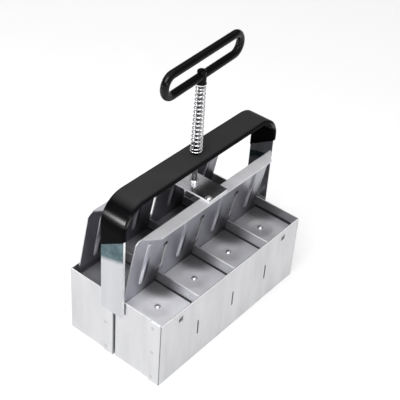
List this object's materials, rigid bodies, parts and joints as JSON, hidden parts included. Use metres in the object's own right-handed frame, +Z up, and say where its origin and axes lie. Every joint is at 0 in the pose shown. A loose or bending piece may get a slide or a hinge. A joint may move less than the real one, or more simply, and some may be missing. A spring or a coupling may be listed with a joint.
{
  "type": "soil blocker",
  "caption": "Hand-held soil blocker: two rows of square sheet-metal cells, press plates on a sprung plunger, dipped bail and T-handle.",
  "frame": {"origin": "middle of the footprint, on the bottom rim", "axes": "+X along the two rows, -Y to the front, +Z up the plunger rod"},
  "size_m": [0.2174, 0.112, 0.2814],
  "materials": {
    "mold_sheet": "satin",
    "divider_sheet": "satin",
    "bail_steel": "bright",
    "vinyl_dip": "satin",
    "spring_wire": "polished",
    "press_sheet": "satin",
    "bridge_steel": "bright",
    "rivet_steel": "polished",
    "bright_hardware": "polished",
    "handle_bar_steel": "plain",
    "gloss_dip": "gloss"
  },
  "bodies": {
    "mold": {"front_mold_case": "mold_sheet", "rear_mold_case": "mold_sheet", "front_divider_left": "divider_sheet", "front_divider_middle": "divider_sheet", "front_divider_right": "divider_sheet", "rear_divider_left": "divider_sheet", "rear_divider_middle": "divider_sheet", "rear_divider_right": "divider_sheet", "bail_strip": "bail_steel", "bail_grip": "vinyl_dip", "return_spring": "spring_wire"},
    "plunger": {"front_press_plate": "press_sheet", "rear_press_plate": "press_sheet", "front_seed_pins": "rivet_steel", "rear_seed_pins": "rivet_steel", "bridge_bar": "bridge_steel", "bridge_rivets": "rivet_steel", "plunger_rod": "bright_hardware", "rod_upper_nut": "bright_hardware", "rod_lower_washer": "bright_hardware", "rod_lower_nut": "bright_hardware", "spring_washer": "bright_hardware", "t_handle_bar": "handle_bar_steel", "t_handle_grip": "gloss_dip"}
  },
  "joints": [
    {"name": "plunger_slide", "type": "slide", "parent": "mold", "child": "plunger", "axis": [0, 0, -1], "range_m": [0, 0.036], "stiffness_N_per_m": 1500, "springref_m": -0.012, "deforming": ["return_spring"]}
  ]
}
